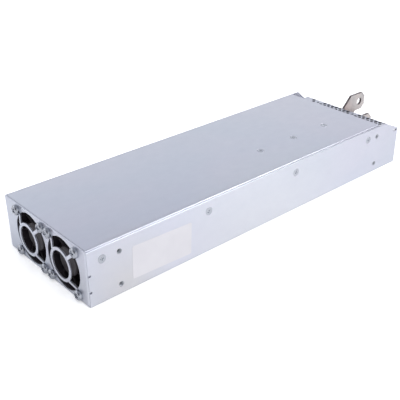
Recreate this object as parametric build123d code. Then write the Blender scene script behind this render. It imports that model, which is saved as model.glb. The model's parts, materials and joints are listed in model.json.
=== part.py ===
from build123d import *
import os

# Switching power supply in a low sheet-metal case.
# X runs across the case, Y from the fan panel to the rear, Z up.
# Places along Y are measured from the fan panel's front face.
# The finished part is moved so that its origin is the middle of the underside.

# Case
case_width = 101.6
case_length = 321.0
sheet = 1.0
bend_radius = 1.5
sheet_gap = 0.1
edge_break = 0.3

# Fans
fan_size = 40.0
fan_depth = 28.0
fan_gap = 0.1
fan_spacing = 0.8
fan_pitch = fan_size + fan_spacing
fan_offset = 2.5
fan_screw_inset = 4.0
fan_screw_pitch = fan_size - 2 * fan_screw_inset
fan_wall = 1.1
fan_bore_radius = fan_size / 2 - fan_wall
fan_flange = 4.0
fan_corner_radius = 2.5
fan_tip_gap = 0.7
fan_tip_radius = fan_bore_radius - fan_tip_gap
fan_hub_radius = 10.4
fan_hub_wall = 1.2
fan_hub_front = 2.2
fan_hub_length = 20.0
fan_hub_rounding = 1.2
fan_blade_count = 7
fan_blade_thickness = 1.0
fan_blade_twist = 46.0
fan_blade_steps = 4
fan_blade_inset = 1.0
fan_base_thickness = 2.4
fan_strut_count = 4
fan_strut_width = 2.2
fan_shaft_radius = 1.5
fan_shaft_boss = 1.2
fan_shaft_boss_length = 2.4
fan_shaft_foot = 0.4
fan_running_gap = 0.05
fan_bearing_wall = 1.4
fan_bearing_set_back = 3.2
fan_tube_wall = 1.0
fan_stator_gap = 1.1
fan_stator_length = 10.0
fan_stator_teeth = 4
fan_stator_ring = 1.6
fan_tooth_width = 2.4
fan_shoe_width = 7.2

# Case height follows the fans
case_height = fan_size + 2 * (sheet + fan_gap)
fan_height = sheet + fan_gap + fan_size / 2
fan_places = [fan_offset - fan_pitch / 2, fan_offset + fan_pitch / 2]

# Finger guards
guard_opening_radius = fan_bore_radius + 0.1
guard_ring_inner = 9.9
guard_ring_outer = 12.2
guard_rise = 2.3
guard_spoke_width = 2.4

# Panel flanges
panel_flange = 16.0
panel_side_flange_top = 24.5
panel_top_gap = 0.15

# Screws: thread radius, head radius, head height
fan_screw_radius = 1.75
fan_screw_head = 3.9
fan_screw_head_height = 2.8
fan_screw_length = 12.0
flush_screw_radius = 1.45
flush_screw_head = 3.0
flush_screw_length = 6.0
bottom_screw_length = 2.9
bottom_screw_y = 9.6
board_screw_head = 2.6
board_screw_head_height = 1.8
board_screw_radius = 1.2
hole_slack = 0.1
head_rounding = 0.35

# Cover
cover_front = sheet + panel_top_gap
cover_set_back = 26.0
cover_rear = case_length - cover_set_back
cover_flange = 15.0
cover_flange_inset = 4.0
cover_bend_radius = 1.6
wall_step = 0.6
side_screw_first = 11.5
side_screw_last = 15.0
side_screw_count = 4
side_screw_pitch = (cover_rear - side_screw_last - side_screw_first) / (side_screw_count - 1)
side_screw_height = 32.9
top_screw_x = 18.8
top_screw_last = 61.1
top_screw_pitch = 37.8
top_screw_count = 3
top_screw_first = case_length - top_screw_last - top_screw_pitch * (top_screw_count - 1)

# Side mounting threads
mount_thread_radius = 2.0
mount_front = 24.8
mount_set_back = 29.2
mount_rear = case_length - mount_set_back
mount_low = 7.9
mount_pitch = 25.0
nut_radius = 3.6
nut_height = 1.8

# Wall ends
rear_panel_top = 33.0
right_slope_length = 20.5
left_slope_set_back = 16.2
left_slope_foot = 6.4
right_slope_start = case_length - right_slope_length
left_slope_start = case_length - left_slope_set_back
left_slope_end = case_length - left_slope_foot
edge_notch_heights = [11.6, 24.0]
edge_notch_depth = 2.4
edge_notch_height = 1.6
wall_slot_length = 4.4
wall_slot_height = 1.2
wall_slot_z = 31.5
wall_slot_rear = 1.2

# Rear panel, its top bent forward as a lip, with square holes in the panel
hole_pitch = 4.5
hole_side = 3.1
hole_rows = 6
hole_top_margin = 3.4
hole_edge = 0.3
rear_flange = 12.0
rear_flange_top = 29.5
rear_foot = 6.0

# Lip with rows of six-sided holes, every second row set half a pitch aside
lip_depth = 17.5
lip_hole_pitch = 4.45
lip_hole_width = 3.4
lip_hole_rows = 4
lip_hole_margin = 9.3
lip_hole_offset = -1.0
lip_hole_set_back = 3.1
lip_row_pitch = lip_hole_pitch * 0.866
lip_blank_radius = 4.4
nut_places = [-34.4, 5.7]
rear_nut_radius = 2.05
rear_nut_thread = 1.25
rear_nut_height = 1.4

# Bus bars
bar_thickness = 2.3
bar_left = -10.9
bar_pitch = 9.8
bar_length_inside = 55.0
bar_inner_end = case_length - bar_length_inside
bar_root_bottom = 12.5
bar_root_top = 28.5
bar_reach = 31.0
bar_tip_height = 16.0
bar_upper_tip_top = 42.0
bar_lower_tip_top = 23.8
bar_chamfer = 4.0
bar_shoulder = 3.5
bar_face_gap = 1.0
bar_hole_radius = 3.25
bar_hole_inset = 7.8
bar_leg_width = 6.0
bar_leg_set_backs = [31.0, 51.0]
bar_clear = 0.2

# Bus bar insulator
insulator_margin = 4.0
insulator_lip = 2.0
insulator_flange = 1.6
insulator_cap = 0.35
insulator_depth = 6.0

# Terminal block
terminal_left = 9.5
terminal_pole_pitch = 9.5
terminal_poles = 3
terminal_wall = 1.2
terminal_height = 15.0
terminal_step = 6.75
terminal_proud = 7.5
terminal_depth = 22.0
terminal_face = 1.0
terminal_screw_radius = 2.9
terminal_screw_height = 1.8
terminal_slot_width = 0.8

# Circuit board, its width and length following the case
board_side_gap = 3.8
board_front_gap = 7.0
board_rear_gap = 4.0
board_width = case_width - 2 * (sheet + board_side_gap)
board_half = board_width / 2
board_front = sheet + fan_depth + board_front_gap
board_rear = case_length - sheet - board_rear_gap
board_thickness = 1.6
board_corner = 1.5
standoff_height = 5.0
standoff_radius = 2.8
standoff_foot_radius = 2.0
standoff_thread = 1.25
standoff_edge = 4.0
standoff_gap = 0.3
insulation_thickness = 0.4
insulation_lip = 3.0
insulation_rear_gap = 1.0
standoff_clear = 0.5

# Named levels that several pieces share
half_width = case_width / 2
cover_under = case_height - sheet
inner_wall = half_width - sheet
wall_top = case_height - wall_step
board_bottom = sheet + standoff_height
board_top = board_bottom + board_thickness
seat_gap = 0.05
seat = board_top + seat_gap
head_room = cover_under - seat
rear_inner = case_length - sheet
bar_right = bar_left + bar_pitch
bar_end = case_length + bar_reach
terminal_width = terminal_poles * terminal_pole_pitch + terminal_wall
terminal_front = case_length + terminal_proud - terminal_depth

# Signal connector: as many columns as fit between the board's edge and the insulator
signal_inset = 2.0
signal_left = signal_inset - board_half
signal_pitch = 2.54
signal_wall = 1.4
signal_gap = 1.0
signal_room = bar_left - insulator_margin - insulator_flange - signal_gap - signal_left
signal_columns = int((signal_room - 2 * signal_wall) / signal_pitch) - 1
signal_width = (signal_columns + 1) * signal_pitch + 2 * signal_wall
signal_height = 9.0
signal_depth = 12.0
signal_back = 3.0
signal_pin = 0.64
signal_proud = 1.2
cutout_gap = 0.3

# Bulk capacitors: one row that fills the board's width
bulk_count = 3
bulk_edge = 0.6
bulk_gap = 0.4
bulk_front_gap = 5.0
bulk_top_gap = 1.55
bulk_radius = (board_width - 2 * bulk_edge - (bulk_count - 1) * bulk_gap) / (2 * bulk_count)
bulk_height = head_room - bulk_top_gap
bulk_y = board_front + bulk_front_gap + bulk_radius
bulk_rear = bulk_y + bulk_radius
can_rounding = 0.6

# Main heat sink under the cover's screws
sink_web = 4.0
sink_flange_width = 12.0
sink_flange = 4.0
sink_set_back = 53.0
sink_length = 96.0
sink_rear = case_length - sink_set_back
sink_front = sink_rear - sink_length
lead_length = 4.0
lead_thickness = 0.8
lead_width = 1.2
transistor_count = 4
transistor_first = 14.0
transistor_pitch = 20.0
transistor_width = 15.6
transistor_height = 20.0
transistor_thickness = 5.0
transistor_hole_radius = 1.8
transistor_lead_pitch = 5.08
rectifier_y = sink_front + 44.0
rectifier_width = 30.0
rectifier_height = 20.0
rectifier_thickness = 3.6
rectifier_corner = 3.0
rectifier_lead_pitch = 7.5

# Right side of the board: boost choke, film capacitor, line choke, fuse
boost_choke_radius = 16.0
boost_choke_inset = 21.0
boost_choke_bore = 6.0
boost_choke_height = 17.0
boost_choke_turns = 14
boost_choke_place = (board_half - boost_choke_inset, (bulk_rear + sink_front) / 2)
wire_radius = 1.1
film_cap_size = (13.0, 26.0, 24.0)
film_cap_inset = 8.0
film_cap_set_back = 83.0
film_cap_place = (board_half - film_cap_inset, case_length - film_cap_set_back)
line_choke_radius = 10.5
line_choke_bore = 4.5
line_choke_height = 16.0
line_choke_turns = 8
line_choke_inset = 11.0
line_choke_gap = 2.0
line_choke_place = (board_half - line_choke_inset, sink_rear + line_choke_gap + line_choke_radius)
fuse_radius = 3.0
fuse_length = 20.0
fuse_cap = 5.0
fuse_lift = 4.0
fuse_offset = 2.0
fuse_set_back = 21.0
fuse_place = (terminal_left + terminal_width / 2 - fuse_offset, case_length - fuse_set_back)

# Left side of the board: output heat sink, chokes and capacitors
output_sink_inset = 3.0
output_sink_left = output_sink_inset - board_half
output_sink_set_back = 59.0
output_sink_length = 58.0
output_sink_rear = case_length - output_sink_set_back
output_sink_front = output_sink_rear - output_sink_length
output_sink_height = head_room - 3.55
output_sink_web = 3.0
output_fin_count = 5
output_fin_length = 9.0
output_fin_thickness = 1.6
output_choke_radius = 10.0
output_choke_bore = 4.0
output_choke_height = 12.0
output_choke_turns = 8
output_choke_count = 2
output_choke_pitch = 26.0
output_choke_gap = 3.0
output_sink_right = output_sink_left + output_sink_web + output_fin_length
output_choke_x = output_sink_right + output_choke_gap + output_choke_radius
output_cap_radius = 5.0
output_cap_height = 20.0
output_cap_gap = 1.1
output_cap_edge = 1.0
output_cap_pitch = 11.4
output_cap_row_pitch = 12.0
output_cap_set_back = 25.0
output_cap_row_count = 3
output_cap_first = bar_left - output_cap_gap - output_cap_radius
output_cap_room = output_cap_first - output_cap_radius + board_half - output_cap_edge
output_cap_column_count = 1 + int(output_cap_room / output_cap_pitch)

# Resonant inductor and transformer: equal gaps between the bulk and the output group
core_length = 42.0
core_depth = 34.0
core_height = head_room - 3.55
core_leg = 8.0
core_centre_leg = 14.0
winding_gap = 0.4
small_core_scale = 0.72
resonant_inset = 21.0
transformer_inset = 22.0
core_gap = (output_sink_front - bulk_rear - core_depth * (1 + small_core_scale)) / 3
resonant_rear = bulk_rear + core_gap + core_depth * small_core_scale
transformer_front = resonant_rear + core_gap
resonant_place = (resonant_inset - board_half, resonant_rear - core_depth * small_core_scale / 2)
transformer_place = (transformer_inset - board_half, transformer_front + core_depth / 2)
standoff_rows = [
    board_front + standoff_edge,
    (resonant_rear + transformer_front) / 2,
    terminal_front - board_screw_head - standoff_gap,
]

# Control card along the middle of the board
card_left = -board_thickness / 2
card_gap = 9.0
card_length = 58.0
card_height = 26.0
card_front = bulk_rear + card_gap
chip_size = (1.6, 12.0, 12.0)
chip_first = 12.0
chip_pitch = 18.0
chip_count = 3

# Label
label_front = 34.4
label_length = 50.2
label_bottom = 6.6
label_height = 24.6
label_thickness = 0.12
label_corner = 1.2
label_tilt = -1.9


def block(x0, x1, y0, y1, z0, z1):
    size = Box(x1 - x0, y1 - y0, z1 - z0)
    return Pos((x0 + x1) / 2, (y0 + y1) / 2, (z0 + z1) / 2) * size


def post(x, y, z0, z1, radius):
    return Pos(x, y, (z0 + z1) / 2) * Cylinder(radius, z1 - z0)


def rod_y(x, z, y0, y1, radius):
    return Pos(x, (y0 + y1) / 2, z) * Rot(90, 0, 0) * Cylinder(radius, y1 - y0)


def rod_x(y, z, x0, x1, radius):
    return Pos((x0 + x1) / 2, y, z) * Rot(0, 90, 0) * Cylinder(radius, x1 - x0)


def side_profile(points, x0, x1):
    # points are (y, z), thickness runs from x0 to x1
    face = Plane.YZ * make_face(Polyline(*points, close=True))
    return Pos(x0, 0, 0) * extrude(face, amount=x1 - x0)


def front_profile(points, y0, y1):
    # points are (x, z), length runs from y0 to y1
    face = Plane.XZ * make_face(Polyline(*points, close=True))
    return Pos(0, y0, 0) * extrude(face, amount=-(y1 - y0))


def edges_along(solid, axis, x=None, z=None, y=None, reach=0.02):
    found = solid.edges().filter_by(axis)
    if x is not None:
        found = found.filter_by(lambda e: abs(abs(e.center().X) - x) < reach)
    if y is not None:
        found = found.filter_by(lambda e: abs(e.center().Y - y) < reach)
    if z is not None:
        found = found.filter_by(lambda e: abs(e.center().Z - z) < reach)
    return found


def flush_screw(slack=0.0, length=flush_screw_length):
    # head face at z = 0, shank down, cone of 90 degrees
    head = flush_screw_head + slack
    shank = flush_screw_radius + slack
    drop = head - shank
    cone = Pos(0, 0, -drop / 2) * Cone(shank, head, drop)
    return cone + Pos(0, 0, -length / 2) * Cylinder(shank, length)


def pan_screw(head, head_height, shank, length):
    # seat at z = 0, head up, shank down
    top = Pos(0, 0, head_height / 2) * Cylinder(head, head_height)
    rim = top.faces().sort_by(Axis.Z)[-1].edges()
    top = chamfer(rim, head_height * head_rounding)
    return top + Pos(0, 0, -length / 2) * Cylinder(shank, length)


def side_screw_places():
    for index in range(side_screw_count):
        yield side_screw_first + index * side_screw_pitch


def top_screw_places():
    for index in range(top_screw_count):
        yield top_screw_first + index * top_screw_pitch


def mount_places():
    for y in (mount_front, mount_rear):
        for z in (mount_low, mount_low + mount_pitch):
            yield y, z


def fan_screw_places():
    half = fan_screw_pitch / 2
    for x in fan_places:
        for dx in (-half, half):
            for dz in (-half, half):
                yield x + dx, fan_height + dz


def standoff_places():
    x = board_half - standoff_edge
    for y in standoff_rows:
        yield -x, y
        yield x, y


def left_wall_cut():
    over = case_height + 1
    points = [
        (left_slope_start, wall_top),
        (left_slope_end, rear_panel_top),
        (case_length + 1, rear_panel_top),
        (case_length + 1, over),
        (left_slope_start, over),
    ]
    return side_profile(points, -half_width - 1, -inner_wall + 1)


def right_wall_cut():
    over = case_height + 1
    points = [
        (right_slope_start, wall_top),
        (case_length, rear_panel_top),
        (case_length + 1, rear_panel_top),
        (case_length + 1, over),
        (right_slope_start, over),
    ]
    return side_profile(points, inner_wall - 1, half_width + 1)


def chassis():
    points = [
        (-half_width, wall_top),
        (-half_width, 0),
        (half_width, 0),
        (half_width, wall_top),
        (inner_wall, wall_top),
        (inner_wall, sheet),
        (-inner_wall, sheet),
        (-inner_wall, wall_top),
    ]
    front = sheet * 0.6
    tray = front_profile(points, front, case_length)
    tray = fillet(edges_along(tray, Axis.Y, x=half_width, z=0), bend_radius)
    tray = fillet(edges_along(tray, Axis.Y, x=inner_wall, z=sheet), bend_radius - sheet)
    tray = chamfer(edges_along(tray, Axis.Y, x=half_width, z=wall_top), edge_break)
    tray -= left_wall_cut()
    tray -= right_wall_cut()
    for z in edge_notch_heights:
        low = z - edge_notch_height / 2
        tray -= block(inner_wall - 1, half_width + 1, 0, edge_notch_depth, low, low + edge_notch_height)
    slot_rear = case_length - wall_slot_rear
    slot_low = wall_slot_z - wall_slot_height / 2
    tray -= block(
        inner_wall - 1, half_width + 1,
        slot_rear - wall_slot_length, slot_rear,
        slot_low, slot_low + wall_slot_height,
    )
    for y, z in mount_places():
        tray -= rod_x(y, z, -half_width - 1, half_width + 1, mount_thread_radius)
    for y in side_screw_places():
        tray -= side_screw(y, 1, hole_slack)
        tray -= side_screw(y, -1, hole_slack)
    for x, y in standoff_places():
        tray -= post(x, y, -1, sheet + 1, standoff_foot_radius)
    for x in bottom_screw_places():
        tray -= bottom_screw(x, hole_slack)
    return tray


def side_screw(y, side, slack=0.0):
    place = Pos(side * half_width, y, side_screw_height) * Rot(0, side * 90, 0)
    return place * flush_screw(slack)


def top_screw(y, slack=0.0):
    return Pos(top_screw_x, y, case_height) * flush_screw(slack)


def bottom_screw_places():
    # the middle of each strip of the panel's foot beside the fans
    room = fan_size / 2 + fan_gap
    outer = inner_wall - sheet_gap
    return [(-outer + fan_places[0] - room) / 2, (outer + fan_places[1] + room) / 2]


def bottom_screw(x, slack=0.0):
    screw = flush_screw(slack, length=bottom_screw_length)
    return Pos(x, bottom_screw_y, 0) * Rot(180, 0, 0) * screw


def top_cover():
    outer = inner_wall - sheet_gap
    inner = outer - sheet
    foot = case_height - cover_flange
    points = [
        (-outer, foot),
        (-outer, case_height),
        (outer, case_height),
        (outer, foot),
        (inner, foot),
        (inner, cover_under),
        (-inner, cover_under),
        (-inner, foot),
    ]
    shell = front_profile(points, cover_front, cover_rear)
    shell = fillet(edges_along(shell, Axis.Y, x=outer, z=case_height), cover_bend_radius)
    for side in (-1, 1):
        low_x, high_x = sorted((side * (inner - 0.5), side * (outer + 1)))
        shell -= block(
            low_x, high_x, cover_rear - cover_flange_inset, cover_rear + 1,
            foot - 1, case_height - bend_radius,
        )
    for y in side_screw_places():
        shell -= side_screw(y, 1, hole_slack)
        shell -= side_screw(y, -1, hole_slack)
    for y in top_screw_places():
        shell -= top_screw(y, hole_slack)
    for side in (-1, 1):
        # room for the upper clinch nuts of the side threads
        for y in (mount_front, mount_rear):
            z = mount_low + mount_pitch
            shell -= rod_x(y, z, *sorted((side * (inner - 1), side * (outer + 1))), nut_radius + hole_slack)
    return shell


def guard_spoke(angle):
    # a strip that rises from the panel's face to the ring, bent at both ends
    reach = guard_opening_radius + 0.6
    points = [
        (guard_ring_outer - 1.0, -guard_rise),
        (guard_ring_outer + 0.4, -guard_rise),
        (reach - 1.0, 0),
        (reach, 0),
        (reach, sheet),
        (reach - 1.4, sheet),
        (guard_ring_outer, sheet - guard_rise),
        (guard_ring_outer - 1.0, sheet - guard_rise),
    ]
    face = make_face(Polyline(*points, close=True))
    strip = extrude(face, amount=guard_spoke_width / 2, both=True)
    return Rot(0, angle, 0) * strip


def finger_guard(x):
    ring = rod_y(0, 0, -guard_rise, sheet - guard_rise, guard_ring_outer)
    ring -= rod_y(0, 0, -guard_rise - 1, sheet - guard_rise + 1, guard_ring_inner)
    guard = ring
    for quarter in range(4):
        guard += guard_spoke(45 + 90 * quarter)
    return Pos(x, 0, fan_height) * guard


def fan_panel():
    outer = inner_wall - sheet_gap
    inner = outer - sheet
    floor = sheet + sheet_gap
    face = block(-outer, outer, 0, sheet, floor, case_height - panel_top_gap)
    foot = block(-outer, outer, 0, panel_flange, floor, floor + sheet)
    sides = block(-outer, outer, 0, panel_flange, floor, panel_side_flange_top)
    sides -= block(-inner, inner, sheet, panel_flange + 1, floor + sheet, panel_side_flange_top + 1)
    tray = face + foot + sides
    for x in fan_places:
        room = fan_size / 2 + fan_gap
        tray -= block(x - room, x + room, sheet, panel_flange + 1, floor - 1, panel_side_flange_top + 1)
    tray = fillet(edges_along(tray, Axis.Z, x=outer, y=0), bend_radius * 0.8)
    tray = chamfer(edges_along(tray, Axis.Y, x=outer, z=floor), bend_radius - sheet)
    for x in fan_places:
        tray -= rod_y(x, fan_height, -1, sheet + 1, guard_opening_radius)
    for x in fan_places:
        tray += finger_guard(x)
    for x, z in fan_screw_places():
        tray -= rod_y(x, z, -1, sheet + 1, fan_screw_radius + hole_slack)
    for x in bottom_screw_places():
        tray -= bottom_screw(x, hole_slack)
    return tray


def perforations():
    outer = inner_wall - sheet_gap
    columns = 1 + int((2 * (outer - hole_edge) - hole_side) / hole_pitch)
    for column in range(columns):
        x = (column - (columns - 1) / 2) * hole_pitch
        for row in range(hole_rows):
            z = rear_panel_top - hole_top_margin - row * hole_pitch
            if hole_is_free(x, z):
                yield x, z


def hole_is_free(x, z):
    edge = hole_side / 2 + hole_edge
    for x0, x1, z0, z1 in rear_cutouts():
        if x0 - edge < x < x1 + edge and z0 - edge < z < z1 + edge:
            return False
    return True


def lip_holes():
    outer = inner_wall - sheet_gap
    columns = 1 + int(2 * (outer - lip_hole_margin) / lip_hole_pitch)
    for row in range(lip_hole_rows):
        y = case_length - lip_hole_set_back - row * lip_row_pitch
        for column in range(columns - row % 2):
            x = lip_hole_offset + (column - (columns - row % 2 - 1) / 2) * lip_hole_pitch
            if all((x - nut) ** 2 + (y - rear_nut_y()) ** 2 > lip_blank_radius ** 2 for nut in nut_places):
                yield x, y


def insulator_box():
    x0 = bar_left - insulator_margin
    x1 = bar_right + bar_thickness + insulator_margin
    return x0, x1, bar_root_bottom - insulator_lip, bar_root_top + insulator_cap


def rear_cutouts():
    x0, x1, z0, z1 = insulator_box()
    gap = cutout_gap
    yield x0, x1, z0, z1
    yield (terminal_left - gap, terminal_left + terminal_width + gap,
           seat - gap, seat + terminal_height + gap)
    yield (signal_left - gap, signal_left + signal_width + gap,
           seat - gap, seat + signal_height + gap)


def rear_panel():
    outer = inner_wall - sheet_gap
    inner = outer - sheet
    floor = sheet + sheet_gap
    front = case_length - rear_flange
    panel = block(-outer, outer, rear_inner, case_length, floor, rear_panel_top)
    for side in (-1, 1):
        panel += block(*sorted((side * inner, side * outer)), front, case_length, floor, rear_flange_top)
    panel += block(-outer, outer, case_length - rear_foot, case_length, floor, floor + sheet)
    lip_front = case_length - lip_depth
    panel += block(-outer, outer, lip_front, case_length, rear_panel_top - sheet, rear_panel_top)
    panel = fillet(edges_along(panel, Axis.X, y=case_length, z=rear_panel_top), bend_radius * 0.8)
    panel = chamfer(edges_along(panel, Axis.Y, x=outer, z=floor), bend_radius - sheet)
    half = hole_side / 2
    for x, z in perforations():
        panel -= block(x - half, x + half, rear_inner - 1, case_length + 1, z - half, z + half)
    for x, y in lip_holes():
        panel -= lip_hole(x, y)
    for x0, x1, z0, z1 in rear_cutouts():
        panel -= block(x0, x1, rear_inner - 1, case_length + 1, z0, z1)
    for x in nut_places:
        panel -= post(x, rear_nut_y(), rear_panel_top - sheet - 1, rear_panel_top + 1, rear_nut_thread)
    return panel


def lip_hole(x, y):
    # a six-sided hole with two sides facing across the case
    face = RegularPolygon(lip_hole_width / 2, 6, major_radius=False, rotation=30)
    return Pos(x, y, rear_panel_top - sheet - 0.5) * extrude(face, amount=sheet + 1)


def rear_nut_y():
    return case_length - lip_hole_set_back - lip_row_pitch / 2


def rear_nuts():
    nuts = []
    top = rear_panel_top - sheet
    for x in nut_places:
        nut = post(x, rear_nut_y(), top - rear_nut_height, top, rear_nut_radius)
        nut -= post(x, rear_nut_y(), top - rear_nut_height - 1, top + 1, rear_nut_thread)
        nuts.append(nut)
    return nuts


def mount_nuts():
    nuts = []
    for side in (-1, 1):
        for y, z in mount_places():
            ends = sorted((side * (inner_wall - nut_height), side * inner_wall))
            nut = rod_x(y, z, *ends, nut_radius)
            nut -= rod_x(y, z, ends[0] - 1, ends[1] + 1, mount_thread_radius)
            nuts.append(nut)
    return nuts


def upper_bar():
    low = bar_upper_tip_top - bar_tip_height
    face = case_length + bar_face_gap
    rise = bar_upper_tip_top - bar_root_top
    points = [
        (bar_inner_end, bar_root_top),
        (face, bar_root_top),
        (face, bar_root_top + bar_shoulder),
        (face + rise - bar_shoulder, bar_upper_tip_top),
        (bar_end - bar_chamfer, bar_upper_tip_top),
        (bar_end, bar_upper_tip_top - bar_chamfer),
        (bar_end, low + bar_chamfer),
        (bar_end - bar_chamfer, low),
        (face + bar_shoulder + low - bar_root_bottom, low),
        (face + bar_shoulder, bar_root_bottom),
    ]
    return finish_bar(points, bar_left, low + bar_tip_height / 2)


def lower_bar():
    low = bar_lower_tip_top - bar_tip_height
    face = case_length + bar_shoulder
    points = [
        (bar_inner_end, bar_root_top),
        (face, bar_root_top),
        (face + bar_root_top - bar_lower_tip_top, bar_lower_tip_top),
        (bar_end - bar_chamfer, bar_lower_tip_top),
        (bar_end, bar_lower_tip_top - bar_chamfer),
        (bar_end, low + bar_chamfer),
        (bar_end - bar_chamfer, low),
        (face + bar_shoulder + bar_root_bottom - low, low),
        (face + bar_shoulder, bar_root_bottom),
    ]
    return finish_bar(points, bar_right, low + bar_tip_height / 2)


def finish_bar(points, left, hole_z):
    legs = []
    for set_back in bar_leg_set_backs:
        y = case_length - set_back
        legs += [
            (y + bar_leg_width, bar_root_bottom),
            (y + bar_leg_width, seat),
            (y, seat),
            (y, bar_root_bottom),
        ]
    outline = points + legs + [(bar_inner_end, bar_root_bottom)]
    bar = side_profile(outline, left, left + bar_thickness)
    hole_y = bar_end - bar_hole_inset
    bar -= rod_x(hole_y, hole_z, left - 1, left + bar_thickness + 1, bar_hole_radius)
    return bar


def bar_insulator():
    x0, x1, z0, z1 = insulator_box()
    body = block(x0, x1, rear_inner - insulator_depth, case_length, z0, z1)
    lip = insulator_flange
    body += block(x0 - lip, x1 + lip, rear_inner - insulator_depth, rear_inner, z0 - lip, z1)
    for left in (bar_left, bar_right):
        body -= block(
            left - bar_clear, left + bar_thickness + bar_clear,
            rear_inner - insulator_depth - 1, case_length + 1,
            bar_root_bottom - bar_clear, bar_root_top + bar_clear,
        )
    return body


def impeller_blade():
    sections = []
    start = -fan_blade_twist / 2
    span = fan_hub_length - 2 * fan_blade_inset
    inner = fan_hub_radius - 0.6
    for step in range(fan_blade_steps):
        share = step / (fan_blade_steps - 1)
        section = Plane.XZ * Pos((inner + fan_tip_radius) / 2, 0) * Rectangle(
            fan_tip_radius - inner, fan_blade_thickness)
        turned = Rot(0, start + share * fan_blade_twist, 0) * section
        sections.append(Pos(0, fan_blade_inset + share * span, 0) * turned)
    return loft(sections, ruled=True)


def impeller(x):
    hub = rod_y(0, 0, 0, fan_hub_length, fan_hub_radius)
    rim = hub.edges().filter_by(GeomType.CIRCLE).sort_by(Axis.Y)[0]
    hub = fillet(rim, fan_hub_rounding)
    cup = fan_hub_radius - fan_hub_wall
    hub -= rod_y(0, 0, fan_hub_wall * 1.5, fan_hub_length + 1, cup)
    blade = impeller_blade()
    for index in range(fan_blade_count):
        hub += Rot(0, 360 * index / fan_blade_count, 0) * blade
    hub -= rod_y(0, 0, fan_hub_wall, fan_hub_length + 1, cup)
    hub += rod_y(0, 0, fan_hub_wall, fan_hub_wall + fan_shaft_boss_length, fan_shaft_radius + fan_shaft_boss)
    hub -= rod_y(0, 0, fan_hub_wall, fan_hub_length + 1, fan_shaft_radius)
    return Pos(x, sheet + fan_hub_front, fan_height) * hub


def fan_shaft(x):
    front = sheet + fan_hub_front + fan_hub_wall
    return rod_y(x, fan_height, front, fan_base_front() + fan_shaft_foot, fan_shaft_radius)


def fan_base_front():
    return sheet + fan_depth - fan_base_thickness


def fan_bearing(x):
    outer = fan_shaft_radius + fan_running_gap + fan_bearing_wall
    front = fan_tube_front()
    sleeve = rod_y(x, fan_height, front, fan_base_front(), outer)
    return sleeve - rod_y(x, fan_height, front - 1, fan_base_front() + 1, fan_shaft_radius + fan_running_gap)


def fan_stator(x):
    tube = fan_tube_radius()
    outer = fan_hub_radius - fan_hub_wall - fan_stator_gap
    rear = fan_base_front() - fan_flange / 4
    front = rear - fan_stator_length
    half_tooth = fan_tooth_width / 2
    half_shoe = fan_shoe_width / 2
    core = rod_y(0, 0, front, rear, tube + fan_stator_ring)
    for index in range(fan_stator_teeth):
        tooth = block(0, outer - 0.6, front, rear, -half_tooth, half_tooth)
        shoe = block(outer - 1.4, outer - 0.5, front, rear, -half_shoe, half_shoe)
        core += Rot(0, 360 * index / fan_stator_teeth, 0) * (tooth + shoe)
    core -= rod_y(0, 0, front - 1, rear + 1, tube)
    return Pos(x, 0, fan_height) * core


def fan_tube_front():
    return sheet + fan_hub_front + fan_hub_wall + fan_bearing_set_back


def fan_tube_radius():
    return fan_shaft_radius + fan_running_gap + fan_bearing_wall + fan_tube_wall


def fan_frame(x):
    half = fan_size / 2
    rear = sheet + fan_depth
    slab = block(-half, half, sheet, rear, -half, half)
    slab = fillet(edges_along(slab, Axis.Y), fan_corner_radius)
    waist = block(-half - 1, half + 1, sheet + fan_flange, rear - fan_flange, -half - 1, half + 1)
    waist -= rod_y(0, 0, sheet, rear, half)
    frame = slab - waist
    frame -= rod_y(0, 0, sheet - 1, rear + 1, fan_bore_radius)
    base_radius = fan_hub_radius - 0.4
    base = rod_y(0, 0, fan_base_front(), rear, base_radius)
    for index in range(fan_strut_count):
        strut = block(base_radius - 1, fan_bore_radius + 0.4, fan_base_front(), rear,
                      -fan_strut_width / 2, fan_strut_width / 2)
        base += Rot(0, 45 + 360 * index / fan_strut_count, 0) * strut
    front = fan_tube_front()
    seat_depth = 2 * fan_shaft_foot
    frame += base + rod_y(0, 0, front, fan_base_front(), fan_tube_radius())
    frame -= rod_y(0, 0, front - 1, fan_base_front(), fan_tube_radius() - fan_tube_wall)
    foot = fan_base_front() + seat_depth
    frame -= rod_y(0, 0, fan_base_front() - 1, foot, fan_shaft_radius + fan_running_gap)
    screw = fan_screw_pitch / 2
    for dx in (-screw, screw):
        for dz in (-screw, screw):
            frame -= rod_y(dx, dz, sheet - 1, rear + 1, fan_screw_radius + fan_running_gap)
    return Pos(x, 0, fan_height) * frame


def fan_screws():
    screw = pan_screw(fan_screw_head, fan_screw_head_height, fan_screw_radius, fan_screw_length)
    screw = Rot(90, 0, 0) * screw
    return [Pos(x, 0, z) * screw for x, z in fan_screw_places()]


def side_screws(side):
    return [side_screw(y, side) for y in side_screw_places()]


def cover_screws():
    return [top_screw(y) for y in top_screw_places()]


def panel_screws():
    return [bottom_screw(x) for x in bottom_screw_places()]


def standoffs():
    parts = []
    for x, y in standoff_places():
        body = post(x, y, sheet, board_bottom, standoff_radius)
        body += post(x, y, 0, sheet, standoff_foot_radius)
        body -= post(x, y, sheet, board_bottom + 1, standoff_thread)
        parts.append(body)
    return parts


def board_screws():
    parts = []
    screw = pan_screw(board_screw_head, board_screw_head_height, board_screw_radius,
                      board_thickness + standoff_height * 0.6)
    for x, y in standoff_places():
        parts.append(Pos(x, y, board_top) * screw)
    return parts


def circuit_board():
    board = block(-board_half, board_half, board_front, board_rear, board_bottom, board_top)
    board = fillet(edges_along(board, Axis.Z), board_corner)
    for x, y in standoff_places():
        board -= post(x, y, board_bottom - 1, board_top + 1, board_screw_radius + 0.3)
    return board


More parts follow.
